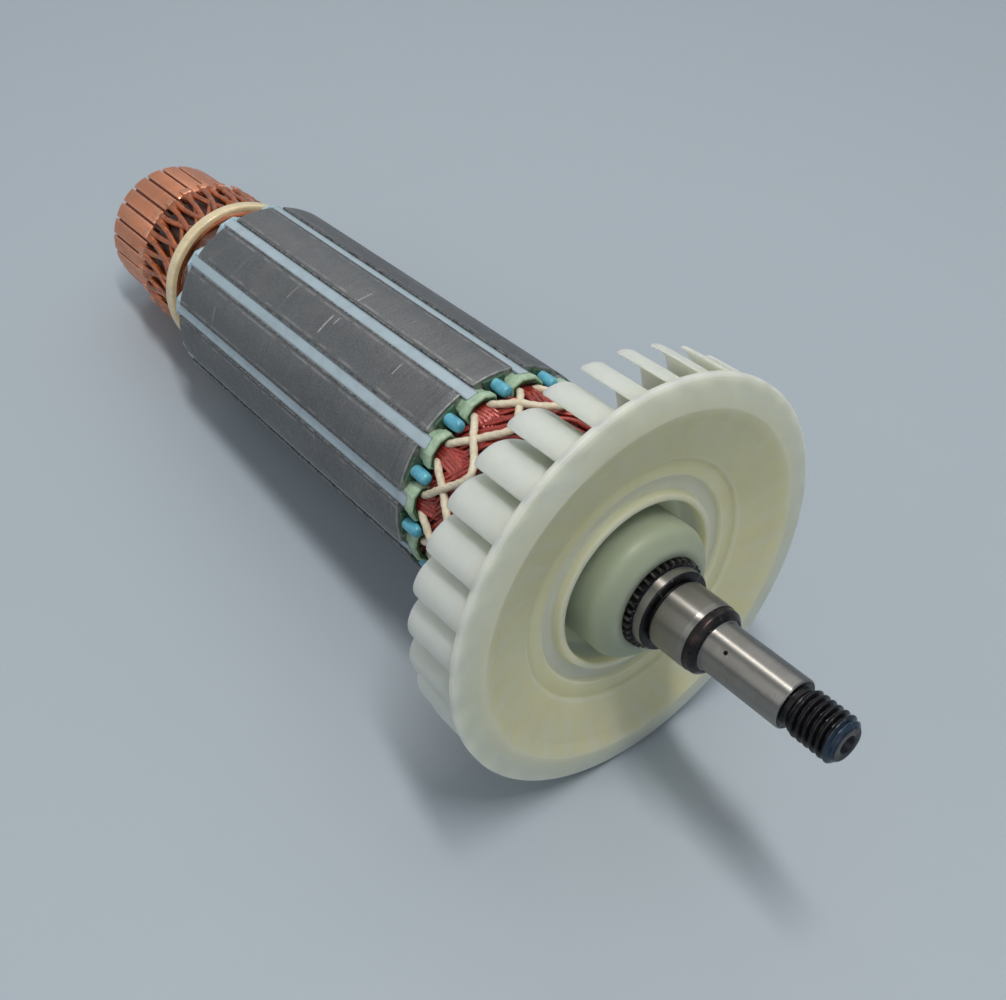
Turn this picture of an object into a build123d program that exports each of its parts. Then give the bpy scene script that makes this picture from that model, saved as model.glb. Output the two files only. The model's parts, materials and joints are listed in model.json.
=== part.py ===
from build123d import *
import math
import os

# Motor armature of a large hand-held grinder. Lengths in mm.
# The model is drawn with the shaft along X, x = 0 at the fan-side face of the core,
# and is laid down at the end as it rests: on its fan blades and its commutator.

# Core and slots
core_od = 54.0
core_length = 104.0
slot_count = 12
slot_phase = 15.5
slot_mouth = 3.0
slot_bottom_radius = 15.8
slot_bottom_width = 3.2
slot_wide_radius = 24.2
slot_width = 8.0
tooth_lip = 1.2

# Insulation
sleeve_wall = 1.8
liner_thickness = 0.35
liner_front_reach = 4.2
liner_rear_reach = 3.4
wedge_thickness = 0.6
wedge_overhang = 1.2
end_insulator_thickness = 0.8
end_insulator_inset = 0.7
peg_radius = 1.1
peg_sides = 6
peg_length = 5.8
peg_circle_radius = 24.9

# Winding heads: twelve-sided, a corner over each slot and a flat over each tooth
front_head_root = 23.2
front_head_crown = 24.0
front_head_nose = 17.5
front_head_rise = 1.2
front_head_flat = 13.0
front_head_length = 23.8
rear_head_crown = 24.0
rear_head_rise = 4.0
rear_head_length = 14.0
band_seat_radius = 21.3
band_sides = 24
band_width = 3.2
band_thickness = 1.1
cord_width = 1.8
cord_height = 1.0
cord_start = 1.6
cord_run = 9.0

# Leads and commutator
lead_cone_length = 17.0
lead_rear_radius = 20.4
lead_rib_depth = 0.7
bar_count = 24
bar_phase = 9.1
commutator_radius = 19.6
commutator_track = 21.0
riser_length = 3.8
bar_gap = 0.8
bar_depth = 4.1
mica_undercut = 0.9
hook_height = 1.9
hook_thickness = 0.8
hook_width = 2.6
hub_recess = 0.9

# Shaft and the bores that sit on it out of sight, which are made in flat facets
bore_sides = 24
shaft_core_radius = 8.5
rear_shoulder_length = 3.0
rear_journal_radius = 5.0
rear_journal_length = 10.5
knurl_radius = 10.2
knurl_depth = 0.8
knurl_teeth = 36
knurl_front_length = 2.8
collar_ring_radius = 8.7
collar_ring_length = 1.1
groove_radius = 6.9
groove_width = 0.7
bearing_seat_radius = 7.5
bearing_seat_length = 7.6
seat_chamfer = 0.2
shoulder_ring_radius = 7.3
shoulder_ring_length = 3.6
gear_seat_radius = 5.4
gear_seat_length = 19.2
undercut_radius = 4.1
undercut_width = 1.4
thread_radius = 4.9
thread_length = 10.6
tip_chamfer = 0.8
centre_hole_radius = 1.7
centre_hole_depth = 2.6
shaft_end_chamfer = 0.5

# Fan
blade_count = 32
blade_phase = 5.625
blade_tip_radius = 46.7
blade_root_radius = 29.0
blade_sweep = 19.7
blade_bend = 0.42
blade_panels = 4
blade_bunching = 2.4
blade_thickness = 1.4
blade_length = 15.2
blade_corner = 1.8
blade_corner_depth = 0.55
fan_sides = 48
fan_centre_sides = 32
fan_position = 47.4
fan_rim_radius = 47.6
fan_rim_thickness = 2.8
fan_lip_radius = 40.8
fan_web = 2.3
bowl_depth = 4.0
land_outer_radius = 28.4
land_inner_radius = 24.4
groove_depth = 1.3
ring_outer_radius = 20.6
ring_inner_radius = 19.1
ring_height = 2.1
rim_bevel = 1.6
hub_base_radius = 15.6
hub_face_radius = 12.3
hub_shoulder = 3.0
hub_height = 3.3
hub_well_depth = 10.8
hub_skirt_radius = 20.2
hub_rear_length = 11.4


# Stations along the shaft that several pieces share
front_face = end_insulator_thickness
rear_face = -core_length - end_insulator_thickness
sleeve_radius = shaft_core_radius + sleeve_wall
front_liner_end = liner_front_reach
rear_liner_end = -core_length - liner_rear_reach
front_head_end = front_liner_end + front_head_length
rear_head_end = rear_liner_end - rear_head_length
lead_end = rear_head_end - lead_cone_length
track_start = lead_end - riser_length
commutator_rear = track_start - commutator_track
fan_lip = fan_position + fan_rim_thickness
hub_face = fan_lip + hub_height
fan_rear = fan_position - hub_rear_length
knurl_start = fan_rear - 0.5
knurl_end = hub_face + knurl_front_length
seat_start = knurl_end + collar_ring_length + groove_width
seat_end = seat_start + bearing_seat_length
gear_start = seat_end + shoulder_ring_length
gear_end = gear_start + gear_seat_length
thread_start = gear_end + undercut_width
shaft_front = thread_start + thread_length
journal_start = commutator_rear + hub_recess - rear_shoulder_length
shaft_rear = journal_start - rear_journal_length
blade_rear = fan_position - blade_length
land_face = fan_lip - bowl_depth
groove_floor = land_face - groove_depth
ring_face = groove_floor + ring_height
well_floor = fan_lip - hub_well_depth
web_rear = land_face - fan_web
embed = 0.8
slot_pitch = 360.0 / slot_count
bar_pitch = 360.0 / bar_count
hub_flat_radius = commutator_radius - bar_depth


def polar(radius, angle):
    a = math.radians(angle)
    return (radius * math.cos(a), radius * math.sin(a))


def turned(points):
    profile = Plane.XZ * make_face(Polyline(*points, close=True))
    return revolve(profile, axis=Axis.X)


def polygon(flat_radius, sides, phase=0.0):
    # regular outline whose flats stand at the given radius
    return Rot(0, 0, phase) * RegularPolygon(flat_radius / math.cos(math.pi / sides), sides)


def ring_wire(station, radius, sides, phase):
    corners = [polar(radius, phase + i * 360.0 / sides) for i in range(sides)]
    return Wire.make_polygon([Vector(station, y, z) for y, z in corners])


def facet_band(start, end, phase):
    # flat facets between two corners of a profile, or one flat ring where they share a station
    (x0, r0, n0), (x1, r1, n1) = start, end
    if x0 == x1:
        rings = sorted([(r0, n0), (r1, n1)], reverse=True)
        wires = [ring_wire(x0, r, n, phase) for r, n in rings if r > 0]
        return [Face(wires[0], wires[1:])]
    faces = []
    for i in range(n0):
        a, b = (phase + (i + k) * 360.0 / n0 for k in (0, 1))
        corners = [(x0, *polar(r0, a)), (x0, *polar(r0, b)), (x1, *polar(r1, b)), (x1, *polar(r1, a))]
        if r0 == 0:
            corners = corners[1:]
        if r1 == 0:
            corners = corners[:3]
        faces.append(Face(Wire.make_polygon([Vector(*c) for c in corners])))
    return faces


def turned_in_facets(points, phase=0.0):
    # points are (station, corner radius, sides), closed round the section
    faces = []
    for start, end in zip(points, points[1:] + points[:1]):
        if start[1] > 0 or end[1] > 0:
            faces += facet_band(start, end, phase)
    return Solid(Shell(faces))


def outline(points):
    return make_face(Polyline(*points, close=True))


def extruded(face, start, end):
    return extrude(Plane.YZ.offset(start) * face, amount=end - start)


def mirrored(half):
    return half + [(x, -y) for x, y in reversed(half)]


def around(solid, count, phase, index):
    return Rot(phase + index * 360.0 / count, 0, 0) * solid


# Slots

def slot_cavity():
    lip_radius = core_od / 2 - tooth_lip
    half = [
        (slot_bottom_radius, slot_bottom_width / 2),
        (slot_wide_radius, slot_width / 2),
        (lip_radius, slot_mouth / 2),
    ]
    return mirrored(half)


def slot_opening():
    half = slot_cavity()[:3] + [(core_od / 2 + 1, slot_mouth / 2)]
    return mirrored(half)


def lamination_stack():
    face = Circle(core_od / 2) - polygon(sleeve_radius, bore_sides)
    for i in range(slot_count):
        face -= Rot(0, 0, slot_phase + i * slot_pitch) * outline(slot_opening())
    return extruded(face, -core_length, 0)


def end_insulator(start):
    # twelve-sided, with a flat over each tooth and open slots without lips
    plate = polygon(core_od / 2 - end_insulator_inset, slot_count, slot_phase)
    face = plate - polygon(sleeve_radius, bore_sides)
    slot = outline(mirrored(slot_cavity()[:2] + [(core_od / 2 + 2, slot_width / 2)]))
    for i in range(slot_count):
        face -= Rot(0, 0, slot_phase + i * slot_pitch) * slot
    return extruded(face, start, start + end_insulator_thickness)


def liner_bore():
    return offset(outline(slot_cavity()), -liner_thickness, kind=Kind.INTERSECTION)


def slot_liner():
    face = outline(slot_cavity()) - liner_bore()
    return extruded(face, rear_liner_end, front_liner_end)


def slot_wedge():
    seat = core_od / 2 - tooth_lip
    half = [
        (seat, slot_mouth / 2),
        (seat + wedge_thickness, slot_mouth / 2),
    ]
    return extruded(outline(mirrored(half)), rear_face - wedge_overhang, front_face + wedge_overhang)


def end_peg():
    face = Pos(peg_circle_radius, 0) * RegularPolygon(peg_radius, peg_sides)
    return extruded(face, front_face, front_face + peg_length)


# Winding

def front_head():
    flat_start = front_liner_end + front_head_rise
    flat_end = flat_start + front_head_flat
    shoulder = 0.5 * (flat_end + front_head_end)
    shoulder_radius = 0.62 * front_head_crown + 0.38 * front_head_nose
    section = [
        (front_liner_end, 0.0),
        (front_liner_end, front_head_root),
        (flat_start, front_head_crown),
        (flat_end, front_head_crown),
        (shoulder, shoulder_radius),
        (front_head_end, front_head_nose),
        (front_head_end, 0.0),
    ]
    return turned_in_facets([(x, r, slot_count) for x, r in section], slot_phase)


def rear_head():
    cone_end = rear_head_end + band_width
    cone = turned_in_facets([
        (rear_liner_end, 0.0, slot_count),
        (rear_liner_end, rear_head_crown, slot_count),
        (rear_liner_end - rear_head_rise, rear_head_crown, slot_count),
        (cone_end, band_seat_radius, slot_count),
        (cone_end, 0.0, slot_count),
    ], slot_phase)
    return cone + extruded(polygon(band_seat_radius, band_sides), rear_head_end, cone_end)


def armature_winding():
    bundle = extruded(liner_bore(), rear_liner_end - 1, front_liner_end + front_head_rise)
    body = front_head() + rear_head()
    body += [around(bundle, slot_count, slot_phase, i) for i in range(slot_count)]
    bore = extruded(polygon(sleeve_radius, bore_sides), rear_head_end, front_head_end)
    return body - bore


def binding_band():
    inner = polygon(band_seat_radius, band_sides)
    outer = polygon(band_seat_radius + band_thickness, band_sides)
    return extruded(outer - inner, rear_head_end, rear_head_end + band_width)


def cord_cross():
    # one crossing on the flat over a tooth, drawn from the middle of that flat
    flat = front_head_crown * math.cos(math.pi / slot_count)
    reach = front_head_crown * math.sin(math.pi / slot_count)
    length = math.hypot(cord_run, 2 * reach) + 2 * cord_width
    angle = math.degrees(math.atan2(2 * reach, cord_run))
    arm = Rectangle(length, cord_width)
    cross = (Rot(0, 0, angle) * arm) + (Rot(0, 0, -angle) * arm)
    middle = front_liner_end + front_head_rise + cord_start + cord_run / 2
    base = Plane(origin=(middle, flat, 0), x_dir=(1, 0, 0), z_dir=(0, 1, 0))
    strands = extrude(base * cross, amount=cord_height)
    far = 2 * front_head_crown
    mitre = outline([(0, 0), polar(far, slot_pitch / 2), polar(far, -slot_pitch / 2)])
    return strands & extruded(mitre, middle - cord_run, middle + cord_run)


def lacing_cord():
    cross = cord_cross()
    crosses = [around(cross, slot_count, slot_phase + slot_pitch / 2, i) for i in range(slot_count)]
    cord = crosses[0]
    cord += crosses[1:]
    return cord


# Commutator and leads

def lead_corners(station, radius):
    rib = lead_rib_depth * radius / lead_rear_radius
    corners = []
    for i in range(bar_count):
        angle = bar_phase + i * bar_pitch
        corners.append(Vector(station, *polar(radius, angle)))
        corners.append(Vector(station, *polar(radius - rib, angle + bar_pitch / 2)))
    return corners


def winding_leads():
    front = lead_corners(rear_head_end, band_seat_radius)
    rear = lead_corners(lead_end, lead_rear_radius)
    faces = [Face(Wire.make_polygon(front)), Face(Wire.make_polygon(rear))]
    for i in range(2 * bar_count):
        faces.append(Face(Wire.make_polygon([front[i - 1], front[i], rear[i], rear[i - 1]])))
    return Solid(Shell(faces)) - extruded(polygon(sleeve_radius, bore_sides), lead_end, rear_head_end)


def bar_section():
    # the sides run along the gap, half a gap away from its middle plane
    edge = math.radians(bar_pitch / 2)
    top_angle = bar_pitch / 2 - math.degrees(math.asin(bar_gap / 2 / commutator_radius))
    foot = (hub_flat_radius * math.sin(edge) - bar_gap / 2) / math.cos(edge)
    shoulder = polar(commutator_radius, top_angle)
    return outline([(hub_flat_radius, -foot), (shoulder[0], -shoulder[1]), (commutator_radius, 0),
                    shoulder, (hub_flat_radius, foot)])


def bar_hook():
    top = commutator_radius + hook_height
    foot = commutator_radius - 2 * hook_thickness
    neck = lead_end - hook_thickness
    profile = outline([
        (lead_end, foot),
        (lead_end, top),
        (track_start, top),
        (track_start, top - hook_thickness),
        (neck, top - hook_thickness),
        (neck, commutator_radius),
        (track_start, commutator_radius),
        (track_start, foot),
    ])
    return extrude(Plane.XZ * profile, amount=hook_width / 2, both=True)


def commutator_bar():
    blank = extruded(bar_section(), commutator_rear, track_start)
    hook = Rot(-90, 0, 0) * bar_hook()
    return blank + hook


def commutator_hub():
    face = polygon(hub_flat_radius, bar_count, bar_phase + bar_pitch / 2)
    fin_top = commutator_radius - mica_undercut
    fin = Pos((hub_flat_radius + fin_top) / 2 - 0.5, 0) * Rectangle(fin_top - hub_flat_radius + 1, bar_gap)
    for i in range(bar_count):
        face += Rot(0, 0, bar_phase + (i + 0.5) * bar_pitch) * fin
    face -= polygon(shaft_core_radius, bore_sides)
    return extruded(face, commutator_rear + hub_recess, lead_end)


# Shaft and sleeve

def shaft_profile():
    c = shaft_end_chamfer
    ring_front = knurl_end + collar_ring_length
    return [
        (shaft_rear, 0),
        (shaft_rear, rear_journal_radius - c),
        (shaft_rear + c, rear_journal_radius),
        (journal_start, rear_journal_radius),
        (journal_start, shaft_core_radius),
        (knurl_start, shaft_core_radius),
        (knurl_start, knurl_radius - knurl_depth),
        (knurl_end, knurl_radius - knurl_depth),
        (knurl_end, collar_ring_radius),
        (ring_front, collar_ring_radius),
        (ring_front, groove_radius),
        (seat_start, groove_radius),
        (seat_start, bearing_seat_radius - seat_chamfer),
        (seat_start + seat_chamfer, bearing_seat_radius),
        (seat_end - seat_chamfer, bearing_seat_radius),
        (seat_end, shoulder_ring_radius),
        (gear_start, shoulder_ring_radius),
        (gear_start, gear_seat_radius),
        (gear_end, gear_seat_radius),
        (gear_end, undercut_radius),
        (thread_start, undercut_radius),
        (thread_start, thread_radius),
        (shaft_front - tip_chamfer, thread_radius),
        (shaft_front, thread_radius - tip_chamfer),
        (shaft_front, centre_hole_radius),
        (shaft_front - centre_hole_depth, 0),
    ]


def knurl_section():
    points = []
    for i in range(knurl_teeth):
        angle = i * 360.0 / knurl_teeth
        points.append(polar(knurl_radius, angle))
        points.append(polar(knurl_radius - knurl_depth, angle + 180.0 / knurl_teeth))
    return outline(points)


def shaft():
    return turned(shaft_profile()) + extruded(knurl_section(), knurl_start, knurl_end)


def shaft_insulation_sleeve():
    face = polygon(sleeve_radius, bore_sides) - polygon(shaft_core_radius, bore_sides)
    return extruded(face, lead_end, front_head_end + 1.0)


# Fan

def fan_disc():
    bore = knurl_radius / math.cos(math.pi / fan_centre_sides)
    centre = [
        (web_rear, hub_skirt_radius),
        (fan_rear, hub_skirt_radius),
        (fan_rear, bore),
        (hub_face, bore),
        (hub_face, hub_face_radius),
        (hub_face - hub_shoulder, hub_base_radius),
        (well_floor, hub_base_radius),
        (well_floor, ring_inner_radius),
        (ring_face, ring_inner_radius),
        (ring_face, ring_outer_radius),
        (groove_floor, ring_outer_radius),
        (groove_floor, land_inner_radius),
        (land_face, land_inner_radius),
    ]
    dish = [
        (land_face, land_outer_radius),
        (fan_lip, fan_lip_radius),
        (fan_lip - rim_bevel, fan_rim_radius),
        (fan_position, fan_rim_radius),
        (fan_position, fan_lip_radius),
        (web_rear, land_outer_radius),
    ]
    section = [(x, r, fan_centre_sides) for x, r in centre] + [(x, r, fan_sides) for x, r in dish]
    return turned_in_facets(section)


def blade_line():
    # outer face of the blade seen along the shaft: nearly along the rim at the tip, steeper inwards
    points = []
    for i in range(blade_panels + 1):
        left = ((blade_panels - i) / blade_panels) ** blade_bunching
        radius = blade_tip_radius - left * (blade_tip_radius - blade_root_radius)
        points.append(Vector(*polar(radius, -blade_sweep * left ** blade_bend)))
    return points


def blade_plan():
    # the inner face runs one thickness inside the outer one
    outer = blade_line()
    ways = [(b - a).normalized() for a, b in zip(outer, outer[1:])]
    inner = []
    for i, point in enumerate(outer):
        before, after = ways[max(i - 1, 0)], ways[min(i, blade_panels - 1)]
        middle = (before + after).normalized()
        inward = Vector(-middle.Y, middle.X)
        inner.append(point + inward * (blade_thickness / inward.dot(Vector(-after.Y, after.X))))
    return outline([(v.X, v.Y) for v in outer + inner[::-1]])


def blade():
    bar = extruded(blade_plan(), blade_rear, fan_position + embed)
    root = blade_root_radius - 5
    tip = blade_tip_radius
    side = outline([
        (blade_rear, root),
        (blade_rear, tip - blade_corner_depth),
        (blade_rear + blade_corner, tip),
        (fan_position + embed, tip),
        (fan_position + embed, fan_lip_radius),
        (web_rear + embed, land_outer_radius),
        (web_rear + embed, root),
    ])
    return bar & extrude(side, amount=blade_tip_radius, both=True)


def cooling_fan():
    one = blade()
    blades = [around(one, blade_count, blade_phase, i) for i in range(blade_count)]
    return fan_disc() + blades


# Rest pose: it lies on the corners of its two lowest blades and on the commutator edge
rest_span = blade_rear + blade_corner - commutator_rear
blade_off_bottom = math.pi / blade_count
rest_drop = blade_tip_radius * math.cos(blade_off_bottom) - commutator_radius
rest_tilt = math.degrees(math.atan(rest_drop / rest_span))


def pieces():
    named = {
        "shaft": shaft(),
        "shaft_insulation_sleeve": shaft_insulation_sleeve(),
        "lamination_stack": lamination_stack(),
        "end_insulator_front": end_insulator(0),
        "end_insulator_rear": end_insulator(rear_face),
        "armature_winding": armature_winding(),
        "winding_leads": winding_leads(),
        "binding_band": binding_band(),
        "commutator_hub": commutator_hub(),
        "lacing_cord": lacing_cord(),
        "cooling_fan": cooling_fan(),
    }
    liner = slot_liner()
    wedge = slot_wedge()
    peg = end_peg()
    bar = commutator_bar()
    for i in range(slot_count):
        named[f"slot_liner_{i + 1:02d}"] = around(liner, slot_count, slot_phase, i)
        named[f"slot_wedge_{i + 1:02d}"] = around(wedge, slot_count, slot_phase, i)
    for i in range(bar_count):
        named[f"commutator_bar_{i + 1:02d}"] = around(bar, bar_count, bar_phase, i)
    tooth_phase = slot_phase + slot_pitch / 2
    named["end_pegs"] = Compound([around(peg, slot_count, tooth_phase, i) for i in range(slot_count)])
    return named


def main():
    os.makedirs("parts", exist_ok=True)
    named = pieces()
    tilt = Rot(0, -rest_tilt, 0)
    laid = {name: tilt * piece for name, piece in named.items()}
    box = Compound([solid for piece in laid.values() for solid in piece.solids()]).bounding_box()
    shift = Pos(-(box.min.X + box.max.X) / 2, -(box.min.Y + box.max.Y) / 2, -box.min.Z)
    for name, piece in laid.items():
        export_step(shift * piece, f"parts/{name}.step")
    print("pieces", len(named), "tilt", round(rest_tilt, 3))
    print("size", [round(v, 2) for v in (box.size.X, box.size.Y, box.size.Z)])
    print("shift", [round(v, 4) for v in (shift.position.X, shift.position.Y, shift.position.Z)])


main()
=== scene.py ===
import json
import math
import random

import bmesh
import bpy
from mathutils import Matrix, Vector
from mathutils.geometry import tessellate_polygon


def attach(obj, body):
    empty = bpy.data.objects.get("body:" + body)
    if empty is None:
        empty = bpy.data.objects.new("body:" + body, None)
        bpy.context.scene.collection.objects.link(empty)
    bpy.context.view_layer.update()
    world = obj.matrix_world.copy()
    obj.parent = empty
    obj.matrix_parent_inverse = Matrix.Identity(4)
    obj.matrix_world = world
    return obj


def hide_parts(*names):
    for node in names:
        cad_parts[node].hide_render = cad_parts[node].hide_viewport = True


bl_info = {
    "name": "Motor Armature",
    "version": (1, 0, 0),
    "blender": (4, 5, 0),
    "location": "View3D > Sidebar > Armature",
    "description": "Dresses the packed motor armature in nylon, steel, copper and insulation",
    "category": "Object",
}

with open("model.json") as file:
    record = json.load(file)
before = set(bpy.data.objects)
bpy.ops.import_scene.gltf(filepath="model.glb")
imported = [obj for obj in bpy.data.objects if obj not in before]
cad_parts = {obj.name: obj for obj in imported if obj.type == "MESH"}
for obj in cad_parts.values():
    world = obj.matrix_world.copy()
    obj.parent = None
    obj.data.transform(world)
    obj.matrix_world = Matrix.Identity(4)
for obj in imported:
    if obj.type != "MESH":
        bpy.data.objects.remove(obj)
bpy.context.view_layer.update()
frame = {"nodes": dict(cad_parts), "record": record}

# The shaft's own axes: s runs along it from the fan-side face of the core, in millimetres
SEAT = next(m for m in frame["record"]["mounts"] if m["name"] == "front_bearing_seat")
AXIS = Vector(SEAT["axis"]).normalized()
ACROSS = Vector((0.0, 1.0, 0.0))
UP = AXIS.cross(ACROSS)
SEAT_FROM_CORE = 0.0619
ORIGIN = Vector(SEAT["pos_m"]) - AXIS * SEAT_FROM_CORE

SLOTS = 12
SLOT_PHASE = 15.5
SLOT_PITCH = 360.0 / SLOTS
BARS = 24
BAR_PHASE = 9.1
BAR_PITCH = 360.0 / BARS
BLADE_PHASE = 5.625
CORE_RADIUS, CORE_BORE, CORE_REAR = 27.0, 10.3, -104.0
BAR_RADIUS = 19.6


def in_world(s, y, z):
    """A direction or step in the shaft's own axes, as it lies in the scene."""
    return AXIS * s + ACROSS * y + UP * z


def spot(point):
    return ORIGIN + in_world(*point) * 0.001


def polar(s, radius, angle):
    a = math.radians(angle)
    return (s, radius * math.cos(a), radius * math.sin(a))


def turned(x, y, a):
    """A point of a section turned about the shaft, by an angle in radians."""
    return (x * math.cos(a) - y * math.sin(a), x * math.sin(a) + y * math.cos(a))


def clamp(value):
    return min(max(value, 0.0), 1.0)


def tint(red, green, blue):
    """A colour written as it looks on a screen, from 0 to 255."""
    def linear(v):
        v /= 255.0
        return v / 12.92 if v <= 0.04045 else ((v + 0.055) / 1.055) ** 2.4
    return (linear(red), linear(green), linear(blue))


# Sizes and colours that a user would change


def length(name, about, value):
    """A size in metres, given here in millimetres."""
    return bpy.props.FloatProperty(
        name=name, description=about, default=value / 1000, min=0.0, subtype="DISTANCE", unit="LENGTH", precision=5)


def colour(name, about, *value):
    return bpy.props.FloatVectorProperty(
        name=name, description=about, default=tint(*value), size=3, min=0.0, max=1.0, subtype="COLOR")


def number(name, about, value, least):
    return bpy.props.IntProperty(name=name, description=about, default=value, min=least)


class ArmatureFanSettings(bpy.types.PropertyGroup):
    blade_count: number("Blades", "Number of fan blades", 32, 3)
    sweep: bpy.props.FloatProperty(
        name="Sweep", description="Angle by which a blade's root trails its tip",
        default=math.radians(19.7), subtype="ANGLE", unit="ROTATION")
    blade_thickness: length("Blade thickness", "Thickness of a blade", 1.4)
    corner: length("Corner", "Rounding of a blade's outer rear corner", 1.3)
    nylon: colour("Nylon", "Colour of the milky nylon", 221, 229, 208)
    depth_tone: colour("Aged nylon", "Warmer colour of the nylon on the thick front of the disc", 228, 218, 168)


class ArmatureShaftSettings(bpy.types.PropertyGroup):
    pitch: length("Thread pitch", "Distance between two crests of the thread", 1.5)
    thread_depth: length("Thread depth", "Height of the thread from root to crest", 0.86)
    teeth: number("Collar teeth", "Teeth round the collar that holds the fan", 36, 8)
    steel: colour("Ground steel", "Colour of the ground seats", 144, 141, 137)
    oxide: colour("Oxide", "Colour of the blackened parts", 25, 25, 28)


class ArmatureCoreSettings(bpy.types.PropertyGroup):
    sheet: colour("Sheet steel", "Colour of the laminations", 100, 102, 104)
    wedge: colour("Wedge", "Colour of the slot wedges", 168, 184, 194)
    liner: colour("Slot paper", "Colour of the folded slot insulation", 176, 199, 172)
    cuff: length("Cuff thickness", "Thickness of the folded rim of the slot insulation", 0.85)


class ArmatureWindingSettings(bpy.types.PropertyGroup):
    wire: length("Wire", "Diameter of the winding wire", 1.1)
    wires_per_coil: number("Wires", "Wires laid in each coil of a winding head", 15, 3)
    enamel: colour("Enamel", "Colour of the enamelled wire", 172, 58, 48)
    cord: colour("Cord", "Colour of the lacing cord", 228, 218, 196)
    cord_width: length("Cord thickness", "Diameter of the lacing cord", 1.7)
    peg: colour("Peg", "Colour of the pegs", 90, 172, 194)


class ArmatureCommutatorSettings(bpy.types.PropertyGroup):
    copper: colour("Copper", "Colour of the turned bars", 226, 142, 100)
    lead: colour("Leads", "Colour of the varnished leads", 196, 100, 40)
    band: colour("Band", "Colour of the band round the rear head", 226, 210, 174)


class ArmatureStageSettings(bpy.types.PropertyGroup):
    floor: colour("Floor", "Colour of the floor and backdrop", 162, 172, 181)
    key_power: bpy.props.FloatProperty(
        name="Lamp power", description="Power that each lamp takes its share of", default=4.6, min=0.0,
        subtype="POWER", unit="POWER")


# Shared effects as shader node groups


class Graph:
    """Adds nodes to a tree and joins them."""

    def __init__(self, tree):
        self.tree = tree

    def add(self, kind, inputs=None, **settings):
        node = self.tree.nodes.new(kind)
        for key, value in settings.items():
            setattr(node, key, value)
        for key, value in (inputs or {}).items():
            self.put(node.inputs[key], value)
        return node

    def put(self, socket, value):
        if isinstance(value, bpy.types.NodeSocket):
            self.tree.links.new(value, socket)
        elif socket.type == "RGBA" and len(value) == 3:
            socket.default_value = (*value, 1.0)
        else:
            socket.default_value = value

    def math(self, operation, *values):
        node = self.add("ShaderNodeMath", operation=operation)
        for socket, value in zip(node.inputs, values):
            self.put(socket, value)
        return node.outputs[0]

    def times(self, first, *others):
        for other in others:
            first = self.math("MULTIPLY", first, other)
        return first

    def plus(self, first, second):
        return self.math("ADD", first, second)

    def less(self, first, second):
        return self.math("SUBTRACT", first, second)

    def apart(self, first, second):
        return self.math("ABSOLUTE", self.less(first, second))

    def most(self, first, *others):
        for other in others:
            first = self.math("MAXIMUM", first, other)
        return first

    def vector(self, operation, *values):
        node = self.add("ShaderNodeVectorMath", operation=operation)
        for socket, value in zip(node.inputs, values):
            self.put(socket, value)
        return node.outputs["Value" if operation in ("DOT_PRODUCT", "DISTANCE") else "Vector"]

    def mix(self, factor, first, second):
        node = self.add("ShaderNodeMix", data_type="RGBA")
        self.put(node.inputs[0], factor)
        self.put(node.inputs[6], first)
        self.put(node.inputs[7], second)
        return node.outputs[2]

    def span(self, value, low, high, out_low=0.0, out_high=1.0, smooth=False):
        node = self.add("ShaderNodeMapRange", clamp=True)
        if smooth:
            node.interpolation_type = "SMOOTHSTEP"
        for index, item in enumerate((value, low, high, out_low, out_high)):
            self.put(node.inputs[index], item)
        return node.outputs[0]

    def between(self, mask, low, high):
        return self.span(mask, 0.0, 1.0, low, high)

    def lay(self, base, mask, amount, *coat):
        """Lays a colour over the base where a mask lets it."""
        return self.mix(self.times(mask, amount), base, tint(*coat))

    def noise(self, vector, scale, detail=3.0, rough=0.55):
        node = self.add("ShaderNodeTexNoise", {"Vector": vector, "Scale": scale, "Detail": detail, "Roughness": rough})
        return node.outputs["Fac"]


def effect_group(name, inputs, outputs):
    """A new node group with named sockets: returns its graph, its inputs and its output node."""
    tree = bpy.data.node_groups.new(name, "ShaderNodeTree")
    for label, kind, value in inputs:
        socket = tree.interface.new_socket(name=label, in_out="INPUT", socket_type=kind)
        if value is not None:
            socket.default_value = value
    for label, kind in outputs:
        tree.interface.new_socket(name=label, in_out="OUTPUT", socket_type=kind)
    graph = Graph(tree)
    return graph, graph.add("NodeGroupInput").outputs, graph.add("NodeGroupOutput").inputs


REAL, TRIPLE = "NodeSocketFloat", "NodeSocketVector"


def shaft_coordinates():
    g, entry, leave = effect_group(
        "Shaft Coordinates", [("Scale", REAL, 1000.0)],
        [("Local", TRIPLE), ("Along", REAL), ("Radius", REAL), ("Angle", REAL)])
    place = g.add("ShaderNodeTexCoord").outputs["Object"]
    moved = g.vector("SUBTRACT", place, tuple(ORIGIN))
    s, y, z = (g.times(g.vector("DOT_PRODUCT", moved, tuple(way)), entry["Scale"]) for way in (AXIS, ACROSS, UP))
    g.put(leave["Local"], g.add("ShaderNodeCombineXYZ", {"X": s, "Y": y, "Z": z}).outputs[0])
    g.put(leave["Along"], s)
    g.put(leave["Radius"], g.math("SQRT", g.plus(g.times(y, y), g.times(z, z))))
    g.put(leave["Angle"], g.math("ARCTAN2", z, y))
    return g.tree


def fine_grain():
    g, entry, leave = effect_group(
        "Fine Grain",
        [("Vector", TRIPLE, None), ("Scale", REAL, 1.0), ("Stretch", TRIPLE, (1.0, 1.0, 1.0)),
         ("Low", REAL, 0.3), ("High", REAL, 0.7)],
        [("Value", REAL)])
    drawn = g.vector("MULTIPLY", entry["Vector"], entry["Stretch"])
    g.put(leave["Value"], g.span(g.noise(drawn, entry["Scale"], 5.0, 0.6), entry["Low"], entry["High"]))
    return g.tree


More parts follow.
